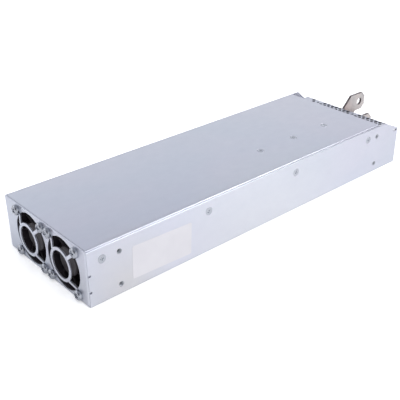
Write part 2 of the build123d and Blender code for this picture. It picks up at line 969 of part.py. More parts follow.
def insulation_sheet():
    half = board_half
    rear = case_length - rear_foot - insulation_rear_gap
    film = block(-half, half, board_front, rear, sheet, sheet + insulation_thickness)
    film += block(-half, half, board_front, board_front + insulation_thickness, sheet, sheet + insulation_lip)
    for x, y in standoff_places():
        film -= post(x, y, 0, board_bottom, standoff_radius + standoff_clear)
    return film


def can(x, y, radius, height):
    body = post(x, y, seat, seat + height, radius)
    rim = body.faces().sort_by(Axis.Z)[-1].edges()
    return chamfer(rim, can_rounding)


def bulk_capacitors():
    step = 2 * bulk_radius + bulk_gap
    middle = (bulk_count - 1) / 2
    return [can((index - middle) * step, bulk_y, bulk_radius, bulk_height) for index in range(bulk_count)]


def output_capacitors():
    parts = []
    for column in range(output_cap_column_count):
        for row in range(output_cap_row_count):
            x = output_cap_first - column * output_cap_pitch
            y = case_length - output_cap_set_back - row * output_cap_row_pitch
            parts.append(can(x, y, output_cap_radius, output_cap_height))
    return parts


def wound_ring(place, radius, bore, height, turns):
    # a toroid with its winding as ribs over the ring, the axis upright
    x, y = place
    ring = post(0, 0, seat, seat + height, radius - wire_radius)
    ring -= post(0, 0, seat - 1, seat + height + 1, bore + wire_radius)
    for index in range(turns):
        rib = block(bore, radius, -wire_radius, wire_radius, seat, seat + height)
        rib = chamfer(edges_along(rib, Axis.Y), wire_radius * 0.8)
        ring += Rot(0, 0, 360 * (index + 0.5) / turns) * rib
    return Pos(x, y, 0) * ring


def boost_choke():
    return wound_ring(boost_choke_place, boost_choke_radius, boost_choke_bore, boost_choke_height,
                      boost_choke_turns)


def line_choke():
    return wound_ring(line_choke_place, line_choke_radius, line_choke_bore, line_choke_height,
                      line_choke_turns)


def output_chokes():
    parts = []
    for index in range(output_choke_count):
        place = (output_choke_x, output_sink_front + output_choke_radius + index * output_choke_pitch)
        parts.append(wound_ring(place, output_choke_radius, output_choke_bore, output_choke_height,
                                output_choke_turns))
    return parts


def ferrite_core(place, scale):
    # two E halves closed on each other, the winding's window open on both sides
    x, y = place
    length = core_length * scale
    depth = core_depth * scale
    height = core_height * scale
    leg = core_leg * scale
    core = block(-length / 2, length / 2, -depth / 4, depth / 4, seat, seat + height)
    centre = core_centre_leg * scale / 2
    for side in (-1, 1):
        x0, x1 = sorted((side * centre, side * (length / 2 - leg)))
        core -= block(x0, x1, -depth, depth, seat + leg, seat + height - leg)
    return Pos(x, y, 0) * core


def winding(place, scale):
    x, y = place
    length = core_length * scale
    depth = core_depth * scale
    height = core_height * scale
    leg = core_leg * scale
    centre = core_centre_leg * scale / 2 + winding_gap
    reach = length / 2 - leg - winding_gap
    low = seat + leg + winding_gap
    high = seat + height - leg - winding_gap
    coil = block(-reach, reach, -depth / 2, depth / 2, low, high)
    coil = fillet(edges_along(coil, Axis.Z), depth / 6)
    coil -= block(-centre, centre, -depth / 4 - winding_gap, depth / 4 + winding_gap, low - 1, high + 1)
    return Pos(x, y, 0) * coil


def main_heat_sink():
    top = cover_under
    web = block(top_screw_x - sink_web / 2, top_screw_x + sink_web / 2, sink_front, sink_rear, seat, top)
    half = sink_flange_width / 2
    sink = web + block(top_screw_x - half, top_screw_x + half, sink_front, sink_rear, top - sink_flange, top)
    for y in top_screw_places():
        sink -= top_screw(y, hole_slack)
    return sink


def transistors():
    parts = []
    right = top_screw_x - sink_web / 2
    low = seat + lead_length
    half = lead_width / 2
    for index in range(transistor_count):
        y = sink_front + transistor_first + index * transistor_pitch
        body = block(right - transistor_thickness, right, y - transistor_width / 2,
                     y + transistor_width / 2, low, low + transistor_height)
        body -= rod_x(y, seat + transistor_height, right - transistor_thickness - 1, right + 1,
                      transistor_hole_radius)
        for lead in (-1, 0, 1):
            lead_y = y + lead * transistor_lead_pitch
            lead_x = right - transistor_thickness / 2
            body += block(lead_x - lead_thickness / 2, lead_x + lead_thickness / 2,
                          lead_y - half, lead_y + half, seat, low)
        parts.append(body)
    return parts


def bridge_rectifier():
    left = top_screw_x + sink_web / 2
    y = rectifier_y
    low = seat + lead_length
    high = low + rectifier_height
    rear = y + rectifier_width / 2
    body = block(left, left + rectifier_thickness, y - rectifier_width / 2, rear, low, high)
    body = chamfer(edges_along(body, Axis.X, y=rear, z=high), rectifier_corner)
    lead_x = left + rectifier_thickness / 2
    half = lead_width / 2
    for lead in range(4):
        lead_y = y + (lead - 1.5) * rectifier_lead_pitch
        body += block(lead_x - lead_thickness / 2, lead_x + lead_thickness / 2,
                      lead_y - half, lead_y + half, seat, low)
    return body


def film_capacitor():
    x, y = film_cap_place
    dx, dy, dz = film_cap_size
    body = block(x - dx / 2, x + dx / 2, y - dy / 2, y + dy / 2, seat, seat + dz)
    return fillet(edges_along(body, Axis.Z), 0.8)


def fuse():
    x, y = fuse_place
    z = seat + fuse_lift
    tube = rod_x(y, z, x - fuse_length / 2 + fuse_cap, x + fuse_length / 2 - fuse_cap, fuse_radius - 0.3)
    for side in (-1, 1):
        x0, x1 = sorted((x + side * (fuse_length / 2 - fuse_cap), x + side * fuse_length / 2))
        tube += rod_x(y, z, x0, x1, fuse_radius)
        tube += block(x0, x1, y - fuse_radius, y + fuse_radius, seat, z)
    return tube


def output_heat_sink():
    left = output_sink_left
    sink = block(left, left + output_sink_web, output_sink_front, output_sink_rear,
                 seat, seat + output_sink_height)
    step = (output_sink_height - output_fin_thickness) / (output_fin_count - 1)
    for index in range(output_fin_count):
        z = seat + index * step
        sink += block(left, output_sink_right, output_sink_front,
                      output_sink_rear, z, z + output_fin_thickness)
    return sink


def control_card():
    left = card_left
    card = block(left, left + board_thickness, card_front, card_front + card_length, seat, seat + card_height)
    dx, dy, dz = chip_size
    low = seat + card_height / 2 - dz / 2
    for index in range(chip_count):
        y = card_front + chip_first + index * chip_pitch
        face = left + board_thickness
        card += block(face, face + dx, y - dy / 2, y + dy / 2, low, low + dz)
    return card


def terminal_block():
    right = terminal_left + terminal_width
    rear = case_length + terminal_proud
    body = block(terminal_left, right, terminal_front, rear, seat, seat + terminal_height)
    step_z = seat + terminal_step
    for pole in range(terminal_poles):
        x0 = terminal_left + terminal_wall + pole * terminal_pole_pitch
        x1 = x0 + terminal_pole_pitch - terminal_wall
        body -= block(x0, x1, case_length + terminal_face, rear + 1, step_z, seat + terminal_height + 1)
    return body


def terminal_screws():
    parts = []
    z = seat + terminal_step
    top = z + terminal_screw_height
    radius = terminal_screw_radius
    half = terminal_slot_width / 2
    y = case_length + (terminal_proud + terminal_face) / 2
    for pole in range(terminal_poles):
        x = terminal_left + terminal_wall / 2 + (pole + 0.5) * terminal_pole_pitch
        head = post(x, y, z, top, radius)
        slot = block(x - radius - 1, x + radius + 1, y - half, y + half, top - terminal_slot_width, top + 1)
        parts.append(head - slot)
    return parts


def signal_connector():
    right = signal_left + signal_width
    rear = case_length + signal_proud
    shell = block(signal_left, right, rear - signal_depth, rear, seat, seat + signal_height)
    wall = signal_wall
    shell -= block(signal_left + wall, right - wall, rear - signal_depth + signal_back, rear + 1,
                   seat + wall, seat + signal_height - wall)
    for column in range(signal_columns):
        x = signal_left + wall + (column + 1) * signal_pitch
        for row in (-0.5, 0.5):
            z = seat + signal_height / 2 + row * signal_pitch
            half = signal_pin / 2
            shell += block(x - half, x + half, rear - signal_depth + signal_back - half, rear - signal_back,
                           z - half, z + half)
    return shell


def label():
    face = Plane.YZ * RectangleRounded(label_length, label_height, label_corner)
    plate = extrude(face, amount=label_thickness)
    y = label_front + label_length / 2
    z = label_bottom + label_height / 2
    return Pos(half_width, y, z) * Rot(label_tilt, 0, 0) * plate


def save(name, shape):
    pieces = shape if isinstance(shape, list) else [shape]
    moved = [Pos(0, -case_length / 2, 0) * piece for piece in pieces]
    whole = moved[0] if len(moved) == 1 else Compound(children=moved)
    export_step(whole, "parts/" + name + ".step")


os.makedirs("parts", exist_ok=True)
save("chassis", chassis())
save("top_cover", top_cover())
save("fan_panel", fan_panel())
save("rear_panel", rear_panel())
save("rear_clinch_nuts", rear_nuts())
save("mount_clinch_nuts", mount_nuts())
save("upper_bus_bar", upper_bar())
save("lower_bus_bar", lower_bar())
save("bus_bar_insulator", bar_insulator())
for number, fan_x in enumerate(fan_places, 1):
    prefix = "fan_" + str(number)
    save(prefix + "_frame", fan_frame(fan_x))
    save(prefix + "_impeller", impeller(fan_x))
    save(prefix + "_shaft", fan_shaft(fan_x))
    save(prefix + "_bearing", fan_bearing(fan_x))
    save(prefix + "_stator", fan_stator(fan_x))
save("fan_screws", fan_screws())
save("left_side_screws", side_screws(-1))
save("right_side_screws", side_screws(1))
save("cover_screws", cover_screws())
save("fan_panel_screws", panel_screws())
save("board_standoffs", standoffs())
save("board_screws", board_screws())
save("circuit_board", circuit_board())
save("insulation_sheet", insulation_sheet())
save("bulk_capacitors", bulk_capacitors())
save("output_capacitors", output_capacitors())
save("boost_choke", boost_choke())
save("line_choke", line_choke())
save("output_chokes", output_chokes())
save("transformer_core", ferrite_core(transformer_place, 1.0))
save("transformer_winding", winding(transformer_place, 1.0))
save("resonant_core", ferrite_core(resonant_place, small_core_scale))
save("resonant_winding", winding(resonant_place, small_core_scale))
save("main_heat_sink", main_heat_sink())
save("power_transistors", transistors())
save("bridge_rectifier", bridge_rectifier())
save("film_capacitor", film_capacitor())
save("input_fuse", fuse())
save("output_heat_sink", output_heat_sink())
save("control_card", control_card())
save("terminal_block", terminal_block())
save("terminal_screws", terminal_screws())
save("signal_connector", signal_connector())
save("side_label", label())
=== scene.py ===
"""Looks of a low sheet-metal power supply: finishes, fine shapes, floor, light and camera.

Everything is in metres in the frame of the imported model: X across to the labelled side, Y from the fans to the
bus bars, Z up, origin at the middle of the underside.
"""
import json
import math

import bmesh
import bpy
import numpy as np
from mathutils import Matrix, Vector


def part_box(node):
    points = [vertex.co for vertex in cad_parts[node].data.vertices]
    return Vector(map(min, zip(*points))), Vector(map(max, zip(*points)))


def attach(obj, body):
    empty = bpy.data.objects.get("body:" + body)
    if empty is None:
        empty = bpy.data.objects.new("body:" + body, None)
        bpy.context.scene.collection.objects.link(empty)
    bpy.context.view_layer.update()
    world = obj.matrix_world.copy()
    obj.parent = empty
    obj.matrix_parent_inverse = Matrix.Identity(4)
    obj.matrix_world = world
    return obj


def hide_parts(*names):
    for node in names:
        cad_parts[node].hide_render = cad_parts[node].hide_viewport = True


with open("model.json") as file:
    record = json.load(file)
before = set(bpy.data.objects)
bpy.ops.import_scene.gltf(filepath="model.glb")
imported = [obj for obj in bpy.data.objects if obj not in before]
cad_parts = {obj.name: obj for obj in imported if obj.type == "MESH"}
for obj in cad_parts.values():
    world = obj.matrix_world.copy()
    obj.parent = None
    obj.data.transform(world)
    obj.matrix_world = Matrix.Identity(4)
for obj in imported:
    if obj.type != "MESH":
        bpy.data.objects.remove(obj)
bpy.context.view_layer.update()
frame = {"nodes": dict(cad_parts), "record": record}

mm = 0.001
slot_of = {part["node"]: part["material_slot"] for part in frame["record"]["subparts"]}
body_of = {node: body for body, nodes in frame["record"]["behaviour"]["bodies"].items() for node in nodes}


# ---- finishes ----

class Finish:
    """A material whose pattern is read from Object coordinates, built node by node.

    The colour and roughness given first are its plain values, used where no pattern is joined to them.
    """

    def __init__(self, name, color, metallic=0.0, rough=0.5, specular=0.5):
        self.material = bpy.data.materials.new(name)
        self.material.use_nodes = True
        self.tree = self.material.node_tree
        self.shader = self.tree.nodes["Principled BSDF"]
        self.set("Base Color", (*color, 1.0))
        self.set("Metallic", metallic)
        self.set("Roughness", rough)
        self.set("Specular IOR Level", specular)
        self.place = self.node("ShaderNodeTexCoord").outputs["Object"]

    def set(self, socket, value):
        self.shader.inputs[socket].default_value = value

    def node(self, kind, **fields):
        made = self.tree.nodes.new(kind)
        for field, value in fields.items():
            setattr(made, field, value)
        return made

    def join(self, output, target):
        self.tree.links.new(output, target)

    def noise(self, size, stretch=(1, 1, 1), detail=3.0, rough=0.55, warp=0.0):
        """Noise of grains about size metres across, longer along an axis where stretch is above 1."""
        mapping = self.node("ShaderNodeMapping")
        mapping.inputs["Scale"].default_value = [1 / (size * s) for s in stretch]
        self.join(self.place, mapping.inputs["Vector"])
        noise = self.node("ShaderNodeTexNoise")
        noise.inputs["Scale"].default_value = 1.0
        noise.inputs["Detail"].default_value = detail
        noise.inputs["Roughness"].default_value = rough
        noise.inputs["Distortion"].default_value = warp
        self.join(mapping.outputs["Vector"], noise.inputs["Vector"])
        return noise.outputs["Fac"]

    def near(self, place, reach):
        """1 at a place in metres, falling to 0 at reach metres from it."""
        away = self.node("ShaderNodeVectorMath", operation="DISTANCE")
        away.inputs[1].default_value = place
        self.join(self.place, away.inputs[0])
        return self.spread(away.outputs["Value"], 1.0, 0.0, 0.0, reach)

    def patch(self, place, reach, share, full=1.0):
        """A patch about a place: share where near is full or more, falling to 0 at reach metres."""
        return self.spread(self.near(place, reach), 0.0, share, 0.0, full)

    def edge_on(self, axis):
        """1 on faces that run along an axis, 0 on faces square to it."""
        split = self.node("ShaderNodeSeparateXYZ")
        self.join(self.node("ShaderNodeNewGeometry").outputs["True Normal"], split.inputs[0])
        size = self.node("ShaderNodeMath", operation="ABSOLUTE")
        self.join(split.outputs[axis], size.inputs[0])
        return self.spread(size.outputs[0], 1.0, 0.0, 0.25, 0.6)

    def spread(self, value, low, high, start=0.3, end=0.7):
        """value, between start and end, spread to the range low to high."""
        ranged = self.node("ShaderNodeMapRange")
        ranged.inputs["From Min"].default_value = start
        ranged.inputs["From Max"].default_value = end
        ranged.inputs["To Min"].default_value = low
        ranged.inputs["To Max"].default_value = high
        self.join(value, ranged.inputs["Value"])
        return ranged.outputs["Result"]

    def mix(self, share, first, second):
        """A colour between first and second; each is a colour or another node's output."""
        mixed = self.node("ShaderNodeMix", data_type="RGBA")
        for socket, color in ((6, first), (7, second)):
            if isinstance(color, tuple):
                mixed.inputs[socket].default_value = (*color, 1.0)
            else:
                self.join(color, mixed.inputs[socket])
        self.join(share, mixed.inputs[0])
        return mixed.outputs[2]

    def color(self, output):
        self.join(output, self.shader.inputs["Base Color"])

    def rough(self, output):
        self.join(output, self.shader.inputs["Roughness"])

    def bump(self, height, depth, strength=1.0):
        """Relief of depth metres from height."""
        relief = self.node("ShaderNodeBump")
        relief.inputs["Strength"].default_value = strength
        relief.inputs["Distance"].default_value = depth
        self.join(height, relief.inputs["Height"])
        if self.shader.inputs["Normal"].is_linked:
            self.join(self.shader.inputs["Normal"].links[0].from_socket, relief.inputs["Normal"])
        self.join(relief.outputs["Normal"], self.shader.inputs["Normal"])


# middles of the patches of another tint, in metres; the pale patch on the labelled side is painted light and the
# patch at the fan screws is painted shade
warm_wall_patch = (0.0508, -0.13, 0.008)
painted_side_light = (0.13, 0.0, -0.01)
fan_screw_painted_shade = (0.0025, -0.166, 0.021)
upper_bar_root = (-0.01, 0.16, 0.03)


def zinc_sheet():
    """Blue-passivated zinc: cloudy between blue and lilac grey, with the mill's fine rolling lines along Y."""
    f = Finish("zinc_sheet", (0.62, 0.65, 0.74), metallic=0.9, rough=0.4)
    clouds = f.spread(f.noise(0.09, (1, 1.4, 1), detail=2.0, warp=0.4), 0.0, 1.0)
    blotches = f.spread(f.noise(0.006, (1, 1.6, 1), detail=5.0, rough=0.65), 0.0, 1.0)
    lines = f.noise(0.0006, (1, 30, 1), detail=2.0)
    tint = f.mix(clouds, (0.655, 0.69, 0.765), (0.7, 0.7, 0.775))
    tint = f.mix(f.patch(warm_wall_patch, 0.04, 0.55), tint, (0.69, 0.665, 0.625))
    # painted light: the labelled side made lighter about the middle of its lower part
    tint = f.mix(f.patch(painted_side_light, 0.13, 0.75, 0.45), tint, (0.74, 0.745, 0.77))
    f.color(f.mix(f.spread(blotches, 0.0, 0.12, 0.0, 1.0), tint, (0.56, 0.585, 0.665)))
    f.rough(f.spread(blotches, 0.3, 0.38, 0.0, 1.0))
    f.bump(lines, 0.000012, 0.5)
    f.bump(blotches, 0.00002, 0.35)
    return f


def plated_steel(name, color, rough, grain):
    """Bright plated metal: a tight grain, brighter where it is worn, all of it darker about the fan panel as painted
    shade.
    """
    f = Finish(name, color, metallic=1.0, rough=rough)
    patches = f.spread(f.noise(grain, detail=4.0), 0.0, 1.0)
    dark = tuple(c * 0.8 for c in color)
    tint = f.mix(patches, dark, color)
    # painted shade: plated parts about the fan panel are darkened to stand for dark reflections on the fan screws
    f.color(f.mix(f.patch(fan_screw_painted_shade, 0.06, 0.8, 0.35), tint, tuple(c * 0.78 for c in color)))
    f.rough(f.spread(patches, rough - 0.06, rough + 0.08, 0.0, 1.0))
    f.bump(patches, 0.00001, 0.4)
    return f


def tinned_copper():
    """Tin plate over copper: warm grey, drawn lines along Y, pinker by the case, its sheared edges dark."""
    f = Finish("tinned_copper", (0.55, 0.51, 0.49), metallic=0.9, rough=0.42)
    clouds = f.spread(f.noise(0.012, detail=3.0), 0.0, 1.0)
    face = f.mix(clouds, (0.64, 0.575, 0.545), (0.58, 0.56, 0.55))
    face = f.mix(f.patch(upper_bar_root, 0.018, 0.4, 0.7), face, (0.62, 0.44, 0.42))
    f.color(f.mix(f.edge_on("X"), face, (0.16, 0.13, 0.13)))
    f.rough(f.spread(clouds, 0.36, 0.5, 0.0, 1.0))
    f.bump(f.noise(0.0004, (1, 25, 1)), 0.000015, 0.6)
    return f


def plastic(name, color, rough, grain=0.0007, depth=0.00002, specular=0.5):
    """Moulded plastic with a fine spark-eroded grain and slight change of gloss."""
    f = Finish(name, color, rough=rough, specular=specular)
    patches = f.spread(f.noise(0.008, detail=3.0), 0.0, 1.0)
    lighter = tuple(min(1.0, c * 1.35 + 0.004) for c in color)
    f.color(f.mix(patches, color, lighter))
    f.rough(f.spread(patches, rough - 0.05, rough + 0.07, 0.0, 1.0))
    f.bump(f.noise(grain, detail=2.0), depth, 0.4)
    return f


def board_laminate():
    """Solder mask over copper: flat areas of two greens with soft edges."""
    f = Finish("board_laminate", (0.02, 0.13, 0.06), rough=0.35)
    areas = f.spread(f.noise(0.01, detail=1.0), 0.0, 1.0, 0.47, 0.53)
    f.color(f.mix(areas, (0.012, 0.09, 0.045), (0.025, 0.16, 0.075)))
    f.rough(f.spread(areas, 0.3, 0.42, 0.0, 1.0))
    f.bump(areas, 0.00003, 0.5)
    return f


def wound_copper():
    """Enamelled wire: red-brown with darker dips between turns."""
    f = Finish("winding_copper", (0.42, 0.16, 0.05), metallic=0.6, rough=0.32)
    patches = f.spread(f.noise(0.003, detail=3.0), 0.0, 1.0)
    f.color(f.mix(patches, (0.3, 0.1, 0.03), (0.5, 0.2, 0.07)))
    f.rough(f.spread(patches, 0.25, 0.4, 0.0, 1.0))
    return f


def stone_like(name, color, rough, grain):
    """Pressed or cast matter: ferrite, ceramic, laminations."""
    f = Finish(name, color, rough=rough)
    patches = f.spread(f.noise(grain, detail=6.0, rough=0.7), 0.0, 1.0)
    f.color(f.mix(patches, tuple(c * 0.8 for c in color), color))
    f.rough(f.spread(patches, rough - 0.08, rough + 0.08, 0.0, 1.0))
    f.bump(patches, 0.00003, 0.4)
    return f


def extruded_aluminium():
    """Drawn aluminium with die lines along Y."""
    f = Finish("sink_aluminium", (0.62, 0.63, 0.65), metallic=1.0, rough=0.38)
    lines = f.noise(0.0005, (1, 60, 1), detail=3.0)
    f.color(f.mix(f.spread(lines, 0.0, 1.0), (0.55, 0.56, 0.58), (0.66, 0.67, 0.69)))
    f.rough(f.spread(lines, 0.32, 0.45))
    f.bump(lines, 0.00002, 0.5)
    return f


def label_film():
    """A bare satin sticker, a little warmer than the case, with the faint grain of its film."""
    f = Finish("label_film", (0.74, 0.72, 0.75), rough=0.42, specular=0.5)
    patches = f.spread(f.noise(0.02, detail=2.0), 0.0, 1.0)
    f.color(f.mix(patches, (0.72, 0.705, 0.735), (0.765, 0.75, 0.775)))
    f.rough(f.spread(patches, 0.38, 0.47, 0.0, 1.0))
    f.bump(f.noise(0.0009, detail=2.0), 0.00001, 0.5)
    return f


finishes = {
    "zinc_sheet": zinc_sheet(),
    "clinch_steel": plated_steel("clinch_steel", (0.6, 0.62, 0.66), 0.32, 0.0015),
    "screw_steel": plated_steel("screw_steel", (0.56, 0.58, 0.63), 0.13, 0.001),
    "tinned_copper": tinned_copper(),
    "fan_plastic": plastic("fan_plastic", (0.02, 0.016, 0.021), 0.6, specular=0.25),
    "impeller_plastic": plastic("impeller_plastic", (0.034, 0.028, 0.031), 0.45, specular=0.3),
    "shaft_steel": plated_steel("shaft_steel", (0.6, 0.6, 0.62), 0.2, 0.002),
    "bearing_bronze": plated_steel("bearing_bronze", (0.5, 0.33, 0.16), 0.4, 0.001),
    "stator_steel": stone_like("stator_steel", (0.2, 0.19, 0.18), 0.5, 0.0012),
    "board_laminate": board_laminate(),
    "insulation_film": plastic("insulation_film", (0.62, 0.6, 0.5), 0.3),
    "capacitor_sleeve": plastic("capacitor_sleeve", (0.012, 0.016, 0.045), 0.28),
    "winding_copper": wound_copper(),
    "ferrite": stone_like("ferrite", (0.05, 0.05, 0.053), 0.5, 0.0015),
    "sink_aluminium": extruded_aluminium(),
    "epoxy": stone_like("epoxy", (0.022, 0.022, 0.023), 0.55, 0.0008),
    "film_capacitor_case": plastic("film_capacitor_case", (0.6, 0.42, 0.03), 0.3),
    "fuse_ceramic": stone_like("fuse_ceramic", (0.66, 0.63, 0.56), 0.55, 0.001),
    "terminal_plastic": plastic("terminal_plastic", (0.014, 0.014, 0.016), 0.45),
    "label_film": label_film(),
}


def dress(piece, slot):
    """Gives piece the finish of a material slot and nothing else."""
    piece.data.materials.clear()
    piece.data.materials.append(finishes[slot].material)


for name, node in frame["nodes"].items():
    dress(node, slot_of[name])


# ---- pieces made from merged copies of the solids ----

def smooth_by_angle(mesh, limit):
    """Shades faces smooth across every edge that bends less than limit."""
    shape = bmesh.new()
    shape.from_mesh(mesh)
    for edge in shape.edges:
        edge.smooth = len(edge.link_faces) == 2 and edge.calc_face_angle(0.0) < limit
    for face in shape.faces:
        face.smooth = True
    shape.to_mesh(mesh)
    shape.free()


merge_distance = 2e-6
flat_angle = math.radians(0.5)
sharp_angle = math.radians(34)
edge_segments = 2


def softened(name, width):
    """A merged copy of a solid whose sharp edges are rounded by width metres; it stands for that solid."""
    source = frame["nodes"][name]
    piece = bpy.data.objects.new(name + "_fine", source.data.copy())
    bpy.context.scene.collection.objects.link(piece)
    shape = bmesh.new()
    shape.from_mesh(piece.data)
    bmesh.ops.remove_doubles(shape, verts=shape.verts, dist=merge_distance)
    bmesh.ops.dissolve_limit(
        shape, angle_limit=flat_angle, verts=shape.verts, edges=shape.edges, delimit={"NORMAL"})
    shape.to_mesh(piece.data)
    shape.free()
    smooth_by_angle(piece.data, sharp_angle)
    bevel = piece.modifiers.new("edge", "BEVEL")
    bevel.width = width
    bevel.segments = edge_segments
    bevel.limit_method = "ANGLE"
    bevel.angle_limit = sharp_angle
    finish_piece(piece, name)


def finish_piece(piece, *names):
    """The piece rides, wears and stands for what the named solids do."""
    dress(piece, slot_of[names[0]])
    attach(piece, body_of[names[0]])
    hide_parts(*names)


# widths of the rounded edges, in millimetres
edge_widths = {
    "chassis": 0.4, "top_cover": 0.2, "fan_panel": 0.3, "rear_panel": 0.1,
    "upper_bus_bar": 0.2, "lower_bus_bar": 0.2, "bus_bar_insulator": 0.3,
    "terminal_block": 0.25, "signal_connector": 0.15, "terminal_screws": 0.12,
    "fan_1_frame": 0.3, "fan_2_frame": 0.3,
    "main_heat_sink": 0.25, "output_heat_sink": 0.2, "power_transistors": 0.2, "bridge_rectifier": 0.2,
    "transformer_core": 0.35, "resonant_core": 0.3, "transformer_winding": 0.3, "resonant_winding": 0.25,
    "film_capacitor": 0.35, "input_fuse": 0.15, "control_card": 0.1, "circuit_board": 0.1,
    "rear_clinch_nuts": 0.1, "board_standoffs": 0.15, "board_screws": 0.2,
}
for name, width in edge_widths.items():
    softened(name, width * mm)


# ---- pieces worked out as surfaces ----

def turn_faces(rows, turns):
    """Faces of a surface of revolution: a pole, rows rings of turns points, a pole."""
    ring = np.arange(turns)
    after = (ring + 1) % turns
    first = 1
    last = first + rows * turns
    faces = np.stack([np.full(turns, 0), first + after, first + ring], 1).tolist()
    base = last - turns
    faces += np.stack([np.full(turns, last), base + ring, base + after], 1).tolist()
    low = first + np.arange(rows - 1)[:, None] * turns
    quads = np.stack([low + ring, low + after, low + turns + after, low + turns + ring], -1)
    return faces + quads.reshape(-1, 4).tolist()


def tube_faces(rows, turns, closed):
    """Faces of a grid of rows rings of turns points; closed joins the last ring to the first."""
    ring = np.arange(turns)
    after = (ring + 1) % turns
    row = np.arange(rows if closed else rows - 1)
    low = row[:, None] * turns
    high = ((row + 1) % rows)[:, None] * turns
    quads = np.stack([low + ring, low + after, high + after, high + ring], -1)
    return quads.reshape(-1, 4).tolist()


def outward(points, faces):
    """The faces, turned so that the volume they enclose counts as positive."""
    total = 0.0
    for size in (3, 4):
        chosen = np.array([face for face in faces if len(face) == size])
        if len(chosen) == 0:
            continue
        corner = points[chosen]
        for k in range(1, size - 1):
            total += np.einsum("ij,ij->i", corner[:, 0], np.cross(corner[:, k], corner[:, k + 1])).sum()
    return faces if total > 0 else [face[::-1] for face in faces]


def surface(name, parts, limit=math.radians(40)):
    """One object from several closed parts, each (points, faces counted from 0), shaded smooth below limit."""
    points, faces = [], []
    count = 0
    for part_points, part_faces in parts:
        points.append(part_points)
        faces += [[index + count for index in face] for face in outward(part_points, part_faces)]
        count += len(part_points)
    mesh = bpy.data.meshes.new(name)
    mesh.from_pydata(np.concatenate(points).tolist(), [], faces)
    smooth_by_angle(mesh, limit)
    piece = bpy.data.objects.new(name, mesh)
    bpy.context.scene.collection.objects.link(piece)
    return piece


def turned(profile, turns, lift=None):
    """A solid of revolution about Z.

    profile holds (r, z) from the top pole to the bottom pole, both at r = 0. Point (i, k) is
    (r_i cos a, r_i sin a, z_i + lift(x, y) w_i) with a = 2 pi k / turns; lift is given with a weight w_i per ring.
    """
    profile = np.array(profile, float)
    angle = 2 * np.pi * np.arange(turns) / turns
    inner = profile[1:-1]
    x = inner[:, :1] * np.cos(angle)
    y = inner[:, :1] * np.sin(angle)
    z = np.repeat(inner[:, 1:], turns, axis=1)
    top = profile[0, 1]
    if lift is not None:
        height, weight = lift
        z = z + height(x, y) * np.array(weight, float)[1:-1, None]
        top += float(height(np.zeros(1), np.zeros(1))[0]) * weight[0]
    points = np.stack([x, y, z], -1).reshape(-1, 3)
    points = np.concatenate([[[0, 0, top]], points, [[0, 0, profile[-1, 1]]]])
    return points, turn_faces(len(inner), turns)


def step(value, start, end):
    """0 below start, 1 above end, with a soft rise t^2 (3 - 2t) between."""
    t = np.clip((value - start) / (end - start), 0, 1)
    return t * t * (3 - 2 * t)


def cross_recess(reach, width, depth):
    """Depth below a head of a driver's cross.

    It is -depth (1 - 0.45 a / reach) inside arms of half width, with a = max(|x|, |y|).
    """
    def height(x, y):
        a = np.maximum(abs(x), abs(y))
        b = np.minimum(abs(x), abs(y))
        arm = (1 - step(b, width * 0.42, width * 0.58)) * (1 - step(a, reach * 0.9, reach))
        centre = 1 - step(np.hypot(x, y), reach * 0.38, reach * 0.5)
        return -depth * (1 - 0.45 * a / reach) * np.maximum(arm, centre)
    return height


def pan_head(head, height, shank, length, reach, rings=24, turns=72):
    """A pan-head screw, seat at z = 0: z = height (1 - (r / head)^5)^0.45 less the cross."""
    t = np.sin(np.linspace(0, 0.5, rings) * np.pi)
    crown = [(head * u, height * max(0.0, 1 - u ** 5) ** 0.45) for u in t]
    weight = [1.0] * rings + [0.0] * 5
    profile = crown + [(head, -0.001), (shank, -0.001), (shank, 0.4 - length), (shank - 0.3, -length), (0, -length)]
    return turned(profile, turns, (cross_recess(reach, 0.95, height * 0.62), weight))


def flush_head(length, reach, depth, rings=20, turns=72):
    """A countersunk screw, face at z = 0, its rim eased, with a cross."""
    head, shank, ease = flush_radius, flush_shank, 0.12
    crown = [((head - ease) * u, 0.0) for u in np.linspace(0, 1, rings)]
    weight = [1.0] * rings + [0.0] * 6
    drop = head - shank
    profile = crown + [(head - ease / 3, -ease / 3), (head, -ease), (shank + 0.02, -drop),
                       (shank, 0.4 - length), (shank - 0.3, -length), (0, -length)]
    return turned(profile, turns, (cross_recess(reach, 0.7, depth), weight))


def placed(part, place, turn=None):
    """The part in millimetres, turned by a matrix, moved to a place and brought to metres."""
    points, faces = part
    if turn is not None:
        points = points @ np.array(turn, float).T
    return (points + np.array(place, float)) * mm, faces


# turns that send a part's +Z to the named direction
to_sky = [(1, 0, 0), (0, 1, 0), (0, 0, 1)]
to_front = [(1, 0, 0), (0, 0, -1), (0, 1, 0)]
to_right = [(0, 0, 1), (0, 1, 0), (-1, 0, 0)]
to_left = [(0, 0, -1), (0, 1, 0), (1, 0, 0)]
to_floor = [(1, 0, 0), (0, -1, 0), (0, 0, -1)]


def spun(turn, degrees):
    """The turn after a spin about the part's own axis."""
    c, s = math.cos(math.radians(degrees)), math.sin(math.radians(degrees))
    return (np.array(turn, float) @ np.array([(c, -s, 0), (s, c, 0), (0, 0, 1)])).tolist()


def node_box(name):
    """Lowest and highest corner of a solid, in millimetres."""
    low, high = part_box(name)
    return np.array(low) / mm, np.array(high) / mm


def screw_node(name, screw, places, turn, spins):
    """Fine screws in place of a node's, each one's cross at its own angle."""
    finish_piece(surface(name + "_fine", [
        placed(screw, place, spun(turn, spin)) for place, spin in zip(places, spins)]), name)


joints = {joint["name"]: joint for joint in frame["record"]["behaviour"]["joints"]}
fans = [(joints["fan_%d_spin" % k]["pos_m"][0] / mm, joints["fan_%d_spin" % k]["pos_m"][2] / mm) for k in (1, 2)]


